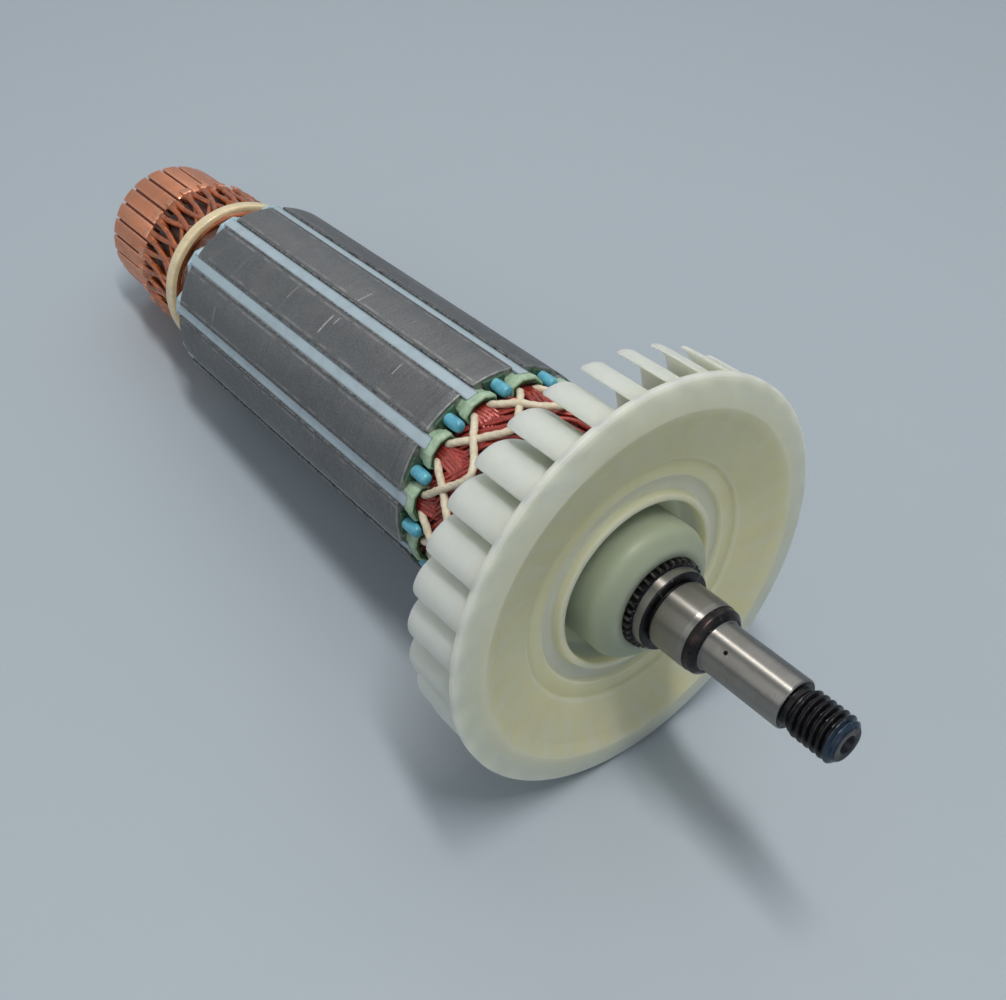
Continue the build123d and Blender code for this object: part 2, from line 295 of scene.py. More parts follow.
def edge_wear():
    g, entry, leave = effect_group(
        "Edge Wear",
        [("Vector", TRIPLE, None), ("Edge", REAL, 0.53), ("Softness", REAL, 0.05), ("Breakup", REAL, 0.5)],
        [("Mask", REAL)])
    sharp = g.add("ShaderNodeNewGeometry").outputs["Pointiness"]
    edge = g.span(sharp, entry["Edge"], g.plus(entry["Edge"], entry["Softness"]))
    broken = g.span(g.noise(entry["Vector"], 1.3, 4.0, 0.65), g.times(entry["Breakup"], 0.85), 0.72)
    g.put(leave["Mask"], g.times(edge, broken))
    return g.tree


def dust_and_smudges():
    g, entry, leave = effect_group(
        "Dust And Smudges",
        [("Vector", TRIPLE, None), ("Smudge Scale", REAL, 0.08), ("Speck Scale", REAL, 1.6),
         ("Speck Size", REAL, 0.12)],
        [("Smudge", REAL), ("Specks", REAL)])
    g.put(leave["Smudge"], g.span(g.noise(entry["Vector"], entry["Smudge Scale"], 4.0, 0.6), 0.46, 0.72))
    cell = g.add("ShaderNodeTexVoronoi", {"Vector": entry["Vector"], "Scale": entry["Speck Scale"]}).outputs["Distance"]
    thin = g.span(g.noise(entry["Vector"], 0.33, 2.0), 0.52, 0.62)
    speck = g.span(cell, entry["Speck Size"], g.times(entry["Speck Size"], 0.4))
    g.put(leave["Specks"], g.times(speck, thin))
    return g.tree


def fine_scratches():
    g, entry, leave = effect_group(
        "Fine Scratches",
        [("Vector", TRIPLE, None), ("Stretch", TRIPLE, (1.0, 0.04, 1.0)), ("Scale", REAL, 1.4), ("Rarity", REAL, 0.66)],
        [("Mask", REAL)])
    drawn = g.vector("MULTIPLY", entry["Vector"], entry["Stretch"])
    lines = g.noise(drawn, entry["Scale"], 2.0, 0.5)
    near = g.apart(lines, entry["Rarity"])
    place = g.span(g.noise(entry["Vector"], 0.11, 2.0), 0.5, 0.62)
    g.put(leave["Mask"], g.times(g.span(near, 0.006, 0.0), place))
    return g.tree


EFFECTS = {}


class Finish:
    """A material under way: shared coordinates, shared effects and one Principled shader."""

    def __init__(self, name, **shader):
        if not EFFECTS:
            EFFECTS.update(coordinates=shaft_coordinates(), grain=fine_grain(), wear=edge_wear(),
                           dust=dust_and_smudges(), scratches=fine_scratches())
        self.material = bpy.data.materials.new(name)
        self.material.use_nodes = True
        self.g = Graph(self.material.node_tree)
        self.shader = next(n for n in self.material.node_tree.nodes if n.type == "BSDF_PRINCIPLED")
        for label, value in shader.items():
            self.g.put(self.shader.inputs[label.replace("_", " ")], value)
        where = self.effect("coordinates")
        self.local, self.along, self.radius, self.angle = (where[k] for k in ("Local", "Along", "Radius", "Angle"))

    def effect(self, key, **values):
        node = self.g.add("ShaderNodeGroup", node_tree=EFFECTS[key])
        for label, value in values.items():
            self.g.put(node.inputs[label.replace("_", " ")], value)
        return node.outputs

    def grain(self, scale, low=0.3, high=0.7, stretch=(1.0, 1.0, 1.0), vector=None):
        vector = vector or self.local
        return self.effect("grain", Vector=vector, Scale=scale, Low=low, High=high, Stretch=stretch)["Value"]

    def worn(self, edge, softness, breakup):
        return self.effect("wear", Vector=self.local, Edge=edge, Softness=softness, Breakup=breakup)["Mask"]

    def dusty(self, **values):
        dust = self.effect("dust", Vector=self.local, **values)
        return dust["Smudge"], dust["Specks"]

    def grooved(self):
        """Turned or sliced metal: its highlights run along the shaft."""
        way = self.g.add("ShaderNodeCombineXYZ", dict(zip("XYZ", AXIS))).outputs[0]
        self.g.put(self.shader.inputs["Tangent"], way)

    def wrapped(self):
        """Coordinates that run along the shaft and round it, in millimetres."""
        arc = self.g.times(self.angle, 10.0)
        return self.g.add("ShaderNodeCombineXYZ", {"X": self.along, "Y": arc, "Z": self.radius}).outputs[0]

    def done(self, base, rough, height, strength, depth):
        bump = self.g.add("ShaderNodeBump", {"Strength": strength, "Distance": depth, "Height": height})
        for label, value in (("Base Color", base), ("Roughness", rough), ("Normal", bump.outputs[0])):
            self.g.put(self.shader.inputs[label], value)
        return self.material


def nylon_finish(settings):
    f = Finish("Milky Nylon", Transmission_Weight=0.07, Subsurface_Weight=1.0, Subsurface_Radius=(1.0, 0.97, 0.78),
               Subsurface_Scale=0.009, IOR=1.5, Specular_IOR_Level=0.4)
    g = f.g
    cloud = f.grain(0.09, 0.25, 0.75)
    front = g.span(f.along, 43.6, 46.0)
    hub = g.times(g.span(f.radius, 18.4, 16.2), g.span(f.along, 38.0, 42.0))
    inner = g.span(f.radius, 43.5, 39.0, 0.3, 1.0)
    aged = g.times(front, inner, g.less(1.0, g.times(hub, 0.75)))
    base = g.mix(g.times(aged, g.between(cloud, 0.7, 1.0)), settings.nylon, settings.depth_tone)
    # painted shade: the hub, deep in its recess, is laid over with a darker colour
    base = g.lay(base, hub, 0.8, 130, 142, 122)
    # painted light and shade: faint paler curved streaks in the bowl stand in for the blades behind the thin web
    # showing through it
    share = g.span(f.radius, 29.0, 46.7)
    trail = g.times(g.math("POWER", g.less(1.0, share), BLADE_BEND), settings.sweep)
    turn = g.times(g.plus(g.less(f.angle, math.radians(BLADE_PHASE)), trail), settings.blade_count)
    wave = g.span(g.math("COSINE", turn), 0.1, 1.0, smooth=True)
    bowl = g.times(g.span(f.radius, 29.5, 33.0), g.span(f.radius, 44.5, 39.5))
    patchy = f.grain(0.06, 0.3, 0.6)
    painted_blade_streak = g.times(wave, g.times(bowl, front), g.between(patchy, 0.1, 0.42))
    base = g.mix(painted_blade_streak, base, tint(228, 226, 198))
    # painted highlights: paler rings along the thin edges of the moulded steps
    lip_highlights = g.most(*(g.span(g.apart(f.radius, r), 0.75, 0.1, smooth=True) for r in (47.4, 41.3, 28.6, 24.3, 19.9)))
    base = g.lay(base, g.times(lip_highlights, front), 0.22, 236, 236, 218)
    smudge, specks = f.dusty()
    base = g.lay(base, smudge, 0.12, 160, 156, 126)
    base = g.lay(base, specks, 0.35, 120, 118, 104)
    wear = f.worn(0.56, 0.08, 0.4)
    base = g.lay(base, wear, 0.35, 240, 242, 236)
    rough = g.between(f.grain(0.35), 0.38, 0.54)
    ripple = g.plus(g.times(f.grain(0.5), 0.7), g.times(f.grain(5.0), 0.3))
    return f.done(base, rough, ripple, 0.12, 0.0002)


def ground_steel_finish(name, steel, pit=False):
    f = Finish(name, Metallic=1.0, Anisotropic=0.9)
    g = f.g
    f.grooved()
    wrapped = f.wrapped()
    rings = f.grain(5.5, 0.3, 0.7, (1.0, 0.02, 0.05), wrapped)
    fine = f.grain(16.0, 0.3, 0.7, (1.0, 0.03, 0.05), wrapped)
    base = g.mix(g.times(rings, 0.30), steel, tint(128, 124, 118))
    smudge, specks = f.dusty(Smudge_Scale=0.22, Speck_Scale=1.1, Speck_Size=0.16)
    base = g.lay(base, smudge, 0.22, 120, 110, 98)
    base = g.lay(base, specks, 0.5, 70, 58, 48)
    scratch = f.effect("scratches", Vector=f.local, Stretch=(0.1, 1.0, 1.0), Scale=1.2)["Mask"]
    base = g.lay(base, scratch, 0.5, 235, 233, 230)
    if pit:
        mark = g.span(g.vector("DISTANCE", f.local, PIT), 0.56, 0.36)
        base = g.mix(mark, base, tint(30, 26, 24))
    rough = g.between(g.plus(g.times(rings, 0.5), g.times(smudge, 0.5)), 0.30, 0.42)
    height = g.plus(g.times(rings, 0.5), g.times(fine, 0.5))
    return f.done(base, rough, height, 0.22, 0.00006)


def oxide_finish(oxide):
    f = Finish("Blackened Steel", Metallic=0.75, Specular_IOR_Level=0.5)
    g = f.g
    cloud = f.grain(0.6, 0.3, 0.7)
    base = g.mix(g.times(cloud, 0.5), oxide, tint(52, 50, 52))
    wear = f.worn(0.54, 0.06, 0.5)
    base = g.lay(base, wear, 0.65, 150, 142, 134)
    _, specks = f.dusty(Smudge_Scale=0.3, Speck_Scale=1.4, Speck_Size=0.1)
    base = g.lay(base, specks, 0.4, 116, 100, 84)
    # painted highlight: a bluish glint on the last crests of the thread and its chamfer
    chamfer = g.times(g.span(f.along, 98.3, 99.2), g.span(f.radius, 3.55, 3.8))
    blue_glint = g.times(chamfer, g.between(f.grain(0.4, 0.35, 0.65), 0.5, 1.0))
    base = g.lay(base, blue_glint, 0.5, 74, 98, 124)
    # painted highlight: a brownish sheen round the black shoulder ring
    brown_highlight = g.times(g.span(g.apart(f.along, 68.2), 1.4, 0.2), f.grain(0.35, 0.4, 0.6))
    base = g.lay(base, brown_highlight, 0.22, 104, 82, 70)
    rough = g.between(cloud, 0.22, 0.40)
    return f.done(base, rough, f.grain(3.5), 0.12, 0.0001)


# Cross scratches on the core: station, first angle, last angle, half width
CROSS_MARKS = [
    (-46.8, 113.5, 126.5, 0.34), (-46.0, 91.0, 100.5, 0.22), (-18.8, 112.8, 120.8, 0.16),
    (-63.9, 112.5, 121.5, 0.14), (-44.6, 113.0, 118.0, 0.2),
]


def slot_distance(f):
    """Distance across the core from the middle of the nearest slot."""
    g = f.g
    turn = g.times(g.less(f.angle, math.radians(SLOT_PHASE)), SLOTS / math.tau)
    part = g.times(g.less(turn, g.math("ROUND", turn)), math.tau / SLOTS)
    return g.math("ABSOLUTE", g.times(f.radius, g.math("SINE", part)))


def sheet_steel_finish(sheet):
    f = Finish("Laminated Sheet Steel", Metallic=0.72, Specular_IOR_Level=0.5, Anisotropic=0.55)
    g = f.g
    f.grooved()
    wrapped = f.wrapped()
    sheets = f.grain(2.6, 0.34, 0.66, (1.0, 0.012, 0.02), wrapped)
    hair = f.grain(8.5, 0.3, 0.7, (1.0, 0.02, 0.02), wrapped)
    mottle = f.grain(0.9, 0.4, 0.62)
    fleck = f.grain(3.2, 0.42, 0.68)
    cloud = f.grain(0.075, 0.36, 0.66, (0.5, 1.0, 1.0))
    near_fan = g.span(f.along, -40.0, -3.0, 0.15, 1.0)
    base = g.mix(g.times(cloud, 0.6), sheet, tint(88, 90, 93))
    base = g.lay(base, mottle, 0.42, 96, 96, 98)
    base = g.lay(base, fleck, 0.3, 168, 166, 164)
    base = g.lay(base, g.times(sheets, near_fan), 0.34, 52, 52, 55)
    base = g.lay(base, g.times(hair, near_fan), 0.16, 160, 159, 158)
    across = slot_distance(f)
    # painted shade: a dark line along the lips of each slot, with a paler line just beside it
    base = g.mix(g.span(across, 2.35, 1.75, 0.0, 0.8, smooth=True), base, tint(34, 34, 38))
    bright = g.times(g.span(g.apart(across, 2.75), 0.4, 0.1), f.grain(0.25, 0.42, 0.62))
    base = g.lay(base, bright, 0.4, 176, 174, 172)
    scratch = f.effect("scratches", Vector=wrapped, Stretch=(1.0, 0.05, 0.2), Scale=0.9, Rarity=0.6)["Mask"]
    marks = g.times(scratch, 0.5)
    ragged = g.between(f.grain(1.4, 0.35, 0.6), 0.45, 1.0)
    for s, low, high, half in CROSS_MARKS:
        line = g.span(g.apart(f.along, s), half, half * 0.4)
        middle, reach = math.radians((low + high) / 2), math.radians((high - low) / 2)
        inside = g.span(g.apart(f.angle, middle), reach, reach * 0.8)
        marks = g.most(marks, g.times(line, inside, ragged))
    base = g.lay(base, marks, 0.85, 206, 202, 198)
    wear = f.worn(0.515, 0.03, 0.42)
    # edge wear, and a painted highlight on the front end of the stack
    ends = g.times(g.span(f.along, -0.5, -0.12), f.grain(0.4, 0.35, 0.6))
    base = g.lay(base, g.most(wear, ends), 0.7, 178, 178, 176)
    smudge, _ = f.dusty(Smudge_Scale=0.16)
    base = g.lay(base, smudge, 0.2, 140, 134, 126)
    rough = g.between(g.plus(g.times(mottle, 0.5), g.times(cloud, 0.5)), 0.36, 0.54)
    height = g.plus(g.times(sheets, 0.4), g.plus(g.times(hair, 0.25), g.times(fleck, 0.35)))
    return f.done(base, rough, height, 0.3, 0.0001)


def plastic_finish(name, first, second, low, high, cloud_scale, bump_scale, bump, wear=None,
                   stretch=(1.0, 1.0, 1.0), edges=None, rear=None, **shader):
    """Insulation, varnish and resin: two tones, worn edges (on the slot wedges a painted shade instead), smudges and a
    fine bump.
    """
    f = Finish(name, **shader)
    g = f.g
    cloud = f.grain(cloud_scale, 0.32, 0.68, stretch)
    if rear:
        there = g.span(f.along, -104.4, -105.6)
        first, second = g.mix(there, first, rear), g.mix(there, second, tuple(0.5 * v for v in rear))
        wear = wear or (1.0, 1.0, 1.0)
    base = g.mix(g.times(cloud, 0.7), first, second)
    smudge, specks = f.dusty(Smudge_Scale=0.25, Speck_Scale=1.5, Speck_Size=0.12)
    base = g.lay(base, smudge, 0.18, 92, 84, 74)
    edge = edges(f) if edges else f.worn(0.54, 0.08, 0.45)
    base = g.mix(g.times(edge, 0.55), base, wear or tuple(min(1.0, 1.35 * v + 0.05) for v in first))
    base = g.lay(base, specks, 0.3, 96, 88, 78)
    rough = g.between(f.grain(cloud_scale * 2.3), low, high)
    return f.done(base, rough, f.grain(bump_scale, stretch=stretch), bump, 0.0002)


# Thin paper and plastic, and fibre and tape, let a little light in
THIN = dict(Subsurface_Weight=0.1, Subsurface_Radius=(1.0, 1.0, 1.0), Subsurface_Scale=0.001)
FIBRE = dict(Subsurface_Weight=0.15, Subsurface_Radius=(1.0, 0.8, 0.6), Subsurface_Scale=0.001)


def wedge_shade_edges(f):
    """The two long edges of a slot wedge, darkened as painted shade where they lie under the lips of the teeth."""
    g = f.g
    uneven = g.between(f.grain(0.3, 0.3, 0.7, (0.15, 1.0, 1.0)), 0.6, 1.0)
    return g.times(g.span(slot_distance(f), 0.9, 1.5, smooth=True), uneven)


def step_edges(*stations):
    """Edges that lie at some stations along the shaft."""
    def mask(f):
        g = f.g
        near = g.most(*(g.span(g.apart(f.along, s), 0.7, 0.1) for s in stations))
        return g.times(near, f.grain(0.9, 0.4, 0.65))
    return mask


def copper_finish(copper):
    f = Finish("Turned Copper", Metallic=0.85, Anisotropic=0.6)
    g = f.g
    f.grooved()
    wrapped = f.wrapped()
    rings = f.grain(3.6, 0.3, 0.7, (1.0, 0.015, 0.03), wrapped)
    cloud = f.grain(0.22, 0.34, 0.66)
    # each bar has its own slight tone
    bar = g.math("FLOOR", g.times(g.plus(f.angle, math.radians(BAR_PITCH / 2 - BAR_PHASE + 360.0)), BARS / math.tau))
    tone = g.add("ShaderNodeTexWhiteNoise", {"W": bar}, noise_dimensions="1D").outputs["Value"]
    base = g.mix(g.times(tone, 0.4), copper, tint(206, 122, 82))
    base = g.lay(base, cloud, 0.35, 168, 98, 70)
    base = g.lay(base, rings, 0.25, 238, 188, 160)
    root = g.span(f.radius, 19.1, 17.9)
    base = g.mix(root, base, tint(92, 46, 28))
    wear = f.worn(0.52, 0.05, 0.4)
    base = g.lay(base, wear, 0.6, 246, 200, 172)
    rough = g.between(cloud, 0.26, 0.44)
    return f.done(base, rough, rings, 0.2, 0.00008)


# Mesh making


class Shape:
    """Points in millimetres in the shaft's own axes, gathered into one mesh."""

    def __init__(self):
        self.points, self.faces, self.zones = [], [], []

    def skin(self, rows, around=True, along=False, zone=0):
        """Quads between rows of points; zone is a material number, or one for each row."""
        start, width = len(self.points), len(rows[0])
        for row in rows:
            self.points.extend(row)
        for i in range(len(rows) if along else len(rows) - 1):
            a, b = start + i * width, start + (i + 1) % len(rows) * width
            for j in range(width if around else width - 1):
                k = (j + 1) % width
                self.faces.append((a + j, a + k, b + k, b + j))
                self.zones.append(zone[i] if isinstance(zone, list) else zone)

    def block(self, rows, zone=0):
        """A skin with a flat end on each side."""
        self.skin(rows, zone=zone)
        for row in (rows[0], rows[-1]):
            self.cap([row], zone)

    def cap(self, loops, zone=0):
        start = len(self.points)
        for loop in loops:
            self.points.extend(loop)
        for face in tessellate_polygon([[Vector(p) for p in loop] for loop in loops]):
            self.faces.append(tuple(start + i for i in face))
            self.zones.append(zone)

    def sweep(self, path, radius, sides, lobes=0, twist=0.0, depth=0.0, closed=False):
        """A strand along a path; lobes and twist give it the look of laid fibres."""
        path = [Vector(p) for p in path]
        count = len(path)
        ways = []
        for i in range(count):
            a = path[(i - 1) % count] if closed or i else path[0]
            b = path[(i + 1) % count] if closed or i < count - 1 else path[-1]
            ways.append((b - a).normalized())
        side = ways[0].orthogonal().normalized()
        rows, run = [], 0.0
        for i, (point, way) in enumerate(zip(path, ways)):
            side = (side - way * side.dot(way)).normalized()
            other = way.cross(side)
            if i:
                run += (point - path[i - 1]).length
            row = []
            for j in range(sides):
                a = math.tau * j / sides
                r = radius * (1 + depth * math.cos(lobes * (a - twist * run)))
                row.append(tuple(point + side * r * math.cos(a) + other * r * math.sin(a)))
            rows.append(row)
        if closed:
            self.skin(rows, along=True)
        else:
            self.block(rows)

    def make(self, name, materials, replaces, angle):
        if not self.faces:
            raise RuntimeError(f"{name} has no faces")
        mesh = bpy.data.meshes.new(name)
        mesh.from_pydata([spot(p) for p in self.points], [], self.faces)
        mesh.polygons.foreach_set("material_index", self.zones)
        work = bmesh.new()
        work.from_mesh(mesh)
        bmesh.ops.remove_doubles(work, verts=work.verts, dist=2e-6)
        bmesh.ops.recalc_face_normals(work, faces=work.faces)
        work.to_mesh(mesh)
        work.free()
        for material in materials:
            mesh.materials.append(material)
        mesh.shade_smooth()
        mesh.set_sharp_from_angle(angle=math.radians(angle))
        piece = bpy.data.objects.new(name, mesh)
        bpy.context.scene.collection.objects.link(piece)
        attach(piece, "root")
        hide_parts(*replaces)


def ring(s, radius, count):
    return [polar(s, radius, 360.0 * j / count) for j in range(count)]


def soften(corners, closed=True, steps=4):
    """Rounds the corners of a profile: each corner is (station, radius, rounding)."""
    points, count = [], len(corners)
    for i, (s, r, size) in enumerate(corners):
        here = Vector((s, r))
        if size <= 0 or (not closed and i in (0, count - 1)):
            points.append((s, r))
            continue
        before, after = Vector(corners[i - 1][:2]), Vector(corners[(i + 1) % count][:2])
        a, b = before - here, after - here
        cut = min(size / math.tan(max(a.angle(b), 0.05) / 2), 0.46 * a.length, 0.46 * b.length)
        first, last = here + a.normalized() * cut, here + b.normalized() * cut
        for k in range(steps + 1):
            t = k / steps
            p = first * (1 - t) ** 2 + here * 2 * t * (1 - t) + last * t * t
            points.append((p.x, p.y))
    return points


def flow(points, steps, closed=False):
    """A smooth path through points."""
    points = [Vector(p) for p in points]
    count, path = len(points), []
    for i in range(count if closed else count - 1):
        near = [(i + k) % count if closed else max(0, min(count - 1, i + k)) for k in (-1, 0, 1, 2)]
        p0, p1, p2, p3 = (points[k] for k in near)
        for k in range(steps):
            t = k / steps
            path.append(0.5 * ((2 * p1) + (p2 - p0) * t + (2 * p0 - 5 * p1 + 4 * p2 - p3) * t * t
                               + (3 * p1 - p0 - 3 * p2 + p3) * t ** 3))
    if not closed:
        path.append(points[-1])
    return path


def dress(node, material, bevel=0.0):
    """Gives a CAD node its material, and softens its edges."""
    piece = frame["nodes"][node]
    piece.data.materials.clear()
    piece.data.materials.append(material)
    if bevel:
        edge = piece.modifiers.new("Softened edges", "BEVEL")
        edge.width, edge.segments, edge.limit_method, edge.angle_limit = bevel / 1000, 2, "ANGLE", math.radians(40)
        edge.harden_normals = False


# Fan

FAN_PROFILE = [
    (36.0, 10.2, 0.2), (53.5, 10.2, 0.2), (53.5, 12.0, 2.2), (50.5, 15.6, 4.0), (39.4, 15.6, 0.7),
    (39.4, 19.1, 0.7), (47.0, 19.1, 0.6), (47.0, 20.6, 0.75), (44.9, 20.9, 0.7), (44.9, 24.2, 0.5),
    (46.2, 24.4, 0.35), (46.1, 28.0, 0.4), (46.75, 28.5, 0.3), (49.0, 37.7, 3.0), (50.1, 40.7, 0.6),
    (49.9, 42.0, 0.5), (49.3, 45.4, 0.8), (49.1, 46.8, 0.35), (48.6, 47.4, 0.4),
    (47.4, 47.4, 0.35), (47.4, 40.8, 1.2), (43.9, 28.4, 1.0), (43.9, 20.2, 0.6), (36.0, 20.2, 0.5),
]
BLADE_REAR, BLADE_ROOT, BLADE_TIP, BLADE_BEND, BLADE_BUNCHING = 32.2, 29.0, 46.64, 0.42, 2.4

# Distances from a blade's edge at which its rounding is drawn
NEAR_EDGE = [0.0, 0.03, 0.09, 0.18, 0.3, 0.45]


def web_back(radius):
    """Station just inside the back of the fan's disc."""
    return 43.9 + clamp((radius - 28.4) / (40.8 - 28.4)) * 3.5 + 0.45


def blade_line(sweep):
    """Outer face of a blade seen along the shaft, from root to tip, with its inward normals and run lengths."""
    points, count = [], 160
    for k in range(count + 1):
        left = (1 - k / count) ** BLADE_BUNCHING
        radius = BLADE_TIP - left * (BLADE_TIP - BLADE_ROOT)
        points.append(Vector(polar(0.0, radius, -sweep * left ** BLADE_BEND)[1:]))
    inward, runs = [], [0.0]
    for k, point in enumerate(points):
        way = (points[min(k + 1, count)] - points[max(k - 1, 0)]).normalized()
        inward.append(Vector((-way.y, way.x)))
        if k:
            runs.append(runs[-1] + (point - points[k - 1]).length)
    return points, inward, runs


def add_blade(shape, line, centre, half, corner):
    points, inward, runs = line
    span = runs[-1]
    middle = [1.3 + i * (span - 2.6) / 19 for i in range(20)]
    reach = NEAR_EDGE + middle + [span - e for e in reversed(NEAR_EDGE)]
    sides, k = ([], []), 0
    for across in reach:
        while k < len(runs) - 2 and runs[k + 1] < across:
            k += 1
        t = clamp((across - runs[k]) / (runs[k + 1] - runs[k]))
        face, normal = points[k].lerp(points[k + 1], t), inward[k].lerp(inward[k + 1], t)
        left = span - across
        rear = BLADE_REAR + (corner - math.sqrt(max(corner ** 2 - (corner - left) ** 2, 0.0)) if left < corner else 0.0)
        front = web_back(face.length)
        stations = [rear + e for e in NEAR_EDGE] + [rear + 1.1 + (front - rear - 1.1) * n / 7 for n in range(8)]
        rows = ([], [])
        for s in stations:
            edge = min(across, left, s - rear)
            if left < corner and s < BLADE_REAR + corner:
                edge = min(edge, max(corner - math.hypot(corner - left, s - BLADE_REAR - corner), 0.0))
            share = min(edge / 0.42, 1.0)
            body = half * (0.8 + 0.2 * min((s - BLADE_REAR) / 15.0, 1.0)) * (0.42 + 0.58 * min(left / 3.0, 1.0))
            thick = body * math.sqrt(max(1 - (1 - share) ** 2, 0.0))
            # the rear corner of the tip falls away, so that the blade stands on the floor without dipping into it
            fall = 0.45 * max(1 - (s - BLADE_REAR) / 1.9, 0.0) * max(1 - left / 6.0, 0.0)
            for row, sign in zip(rows, (-1, 1)):
                place = face + normal * (body + sign * thick)
                place *= 1 - fall / place.length
                row.append((s, *turned(*place, math.radians(centre))))
        for side, row in zip(sides, rows):
            side.append(row)
    for side in sides:
        shape.skin(side, around=False)


class ARMATURE_OT_fan(bpy.types.Operator):
    """Makes the one-piece moulded fan with its curved blades"""
    bl_idname = "armature.fan"
    bl_label = "Fan"

    def execute(self, context):
        settings = context.scene.armature_fan
        shape = Shape()
        shape.skin([ring(s, r, 256) for s, r in soften(FAN_PROFILE)], along=True)
        line = blade_line(math.degrees(settings.sweep))
        for i in range(settings.blade_count):
            centre = BLADE_PHASE + i * 360.0 / settings.blade_count
            add_blade(shape, line, centre, settings.blade_thickness * 500, settings.corner * 1000)
        shape.make("moulded_fan", [nylon_finish(settings)], ["cooling_fan"], 50.0)
        return {"FINISHED"}


# Shaft

GROUND, BLACK, DULL = 0, 1, 2
PIT = (74.1, -3.52, 4.1)
COLLAR_START, COLLAR_END, COLLAR_MIDDLE, COLLAR_ROOT = 35.5, 55.0, 45, 9.4
THREAD_START, THREAD_END = 89.8, 100.5
SHAFT_PROFILE = [
    (-175.8, 1.4, 0.0, DULL), (-175.8, 4.5, 0.1, DULL), (-175.3, 5.0, 0.1, GROUND), (-165.3, 5.0, 0.1, DULL),
    (-165.3, 8.5, 0.3, DULL),
    (COLLAR_START, 8.5, 0.0, BLACK), (COLLAR_START, COLLAR_ROOT, 0.0, BLACK),
    (COLLAR_END, COLLAR_ROOT, 0.0, BLACK), (COLLAR_END, 9.05, 0.0, GROUND),
    (57.3, 9.0, 0.45, BLACK), (57.4, 6.9, 0.15, BLACK), (58.1, 6.9, 0.12, BLACK), (58.1, 7.3, 0.0, GROUND),
    (58.3, 7.5, 0.08, GROUND),
    (65.5, 7.5, 0.06, GROUND), (65.62, 7.44, 0.0, GROUND), (66.9, 7.42, 0.1, BLACK), (67.0, 7.25, 0.06, BLACK),
    (68.3, 7.25, 0.7, BLACK), (69.3, 6.2, 0.5, BLACK), (69.3, 5.4, 0.25, GROUND), (88.3, 5.4, 0.15, GROUND),
    (88.6, 5.1, 0.05, BLACK), (88.7, 4.1, 0.15, BLACK), (89.7, 4.1, 0.15, BLACK),
]


def thread_height(s, angle, pitch, depth):
    """Radius of a right-hand screw thread at a station and an angle."""
    phase = (s / pitch - angle / 360.0) % 1.0
    ridge = clamp((abs(phase - 0.5) * 2 - 0.14) / 0.74)
    run_in = clamp((s - THREAD_START) / 1.2)
    run_out = clamp((THREAD_END - s) / 1.3)
    crest = 4.9 - depth * (0.5 - 0.5 * math.cos(math.pi * ridge)) * run_in
    return min(crest, 4.1 + 0.8 * run_in, 3.55 + 1.35 * run_out)


class ARMATURE_OT_shaft(bpy.types.Operator):
    """Makes the stepped shaft with its toothed collar, ground seats and thread"""
    bl_idname = "armature.shaft"
    bl_label = "Shaft"

    def execute(self, context):
        settings = context.scene.armature_shaft
        count = 288
        rows, zones = [], []
        corners, marks = [corner[:3] for corner in SHAFT_PROFILE], []
        for i, (s, r, size, zone) in enumerate(SHAFT_PROFILE):
            marks += [zone] * (5 if size > 0 and 0 < i < len(SHAFT_PROFILE) - 1 else 1)
        for (s, r), zone in zip(soften(corners, closed=False), marks):
            if abs(r - COLLAR_ROOT) > 1e-6:
                rows.append(ring(s, r, count))
                zones.append(zone)
                continue
            for step, rise in ((0.0, 0.15), (0.35, 1.0)) if s < COLLAR_MIDDLE else ((-0.35, 1.0), (0.0, 0.15)):
                row = []
                for j in range(count):
                    angle = 360.0 * j / count
                    part = abs((angle * settings.teeth / 360.0) % 1.0 - 0.5) * 2
                    row.append(polar(s + step, COLLAR_ROOT + 0.8 * clamp((part - 0.25) / 0.45) * rise, angle))
                rows.append(row)
                zones.append(BLACK)
        pitch, depth = settings.pitch * 1000, settings.thread_depth * 1000
        reach = THREAD_END - THREAD_START
        steps = int(reach / (pitch / 14))
        around = [360.0 * j / count for j in range(count)]
        for i in range(steps + 1):
            s = THREAD_START + reach * i / steps
            rows.append([polar(s, thread_height(s, a, pitch, depth), a) for a in around])
            zones.append(BLACK)
        # centre hole in the threaded end
        for s, r in ((THREAD_END, 2.1), (100.44, 1.95), (99.9, 1.6), (98.9, 0.9), (97.9, 0.0)):
            rows.append(ring(s, r, count))
            zones.append(DULL if r < 1.0 else BLACK)
        rows.insert(0, ring(-174.6, 0.0, count))
        zones.insert(0, DULL)
        shape = Shape()
        shape.skin(rows, zone=zones)
        finishes = [ground_steel_finish("Ground Steel", settings.steel, pit=True), oxide_finish(settings.oxide),
                    ground_steel_finish("Dull Steel", tint(128, 124, 118))]
        shape.make("stepped_shaft", finishes, ["shaft"], 28.0)
        return {"FINISHED"}


# Core, wedges, slot paper


def slot_angle(i):
    return SLOT_PHASE + i * SLOT_PITCH


def in_slot(x, y, i):
    """A point given from the middle of slot i: x outwards, y across."""
    return turned(x, y, math.radians(slot_angle(i)))


def core_outline(inset=0.0):
    """Edge of one sheet, with its slots; inset draws it in for the softened ends."""
    loop, steps = [], 26
    radius = CORE_RADIUS - inset
    edge = math.degrees(math.asin((1.62 + inset) / radius))
    side = [(15.8, 1.6), (24.1, 3.9), (24.45, 3.85), (25.7, 1.75), (25.95, 1.5 + inset * 0.5),
            (radius - 0.18, 1.5 + inset)]
    for i in range(SLOTS):
        loop += [in_slot(x, -y, i) for x, y in reversed(side)]
        loop += [in_slot(x, y, i) for x, y in side]
        for k in range(steps + 1):
            loop.append(polar(0.0, radius, slot_angle(i) + edge + (SLOT_PITCH - 2 * edge) * k / steps)[1:])
    return loop


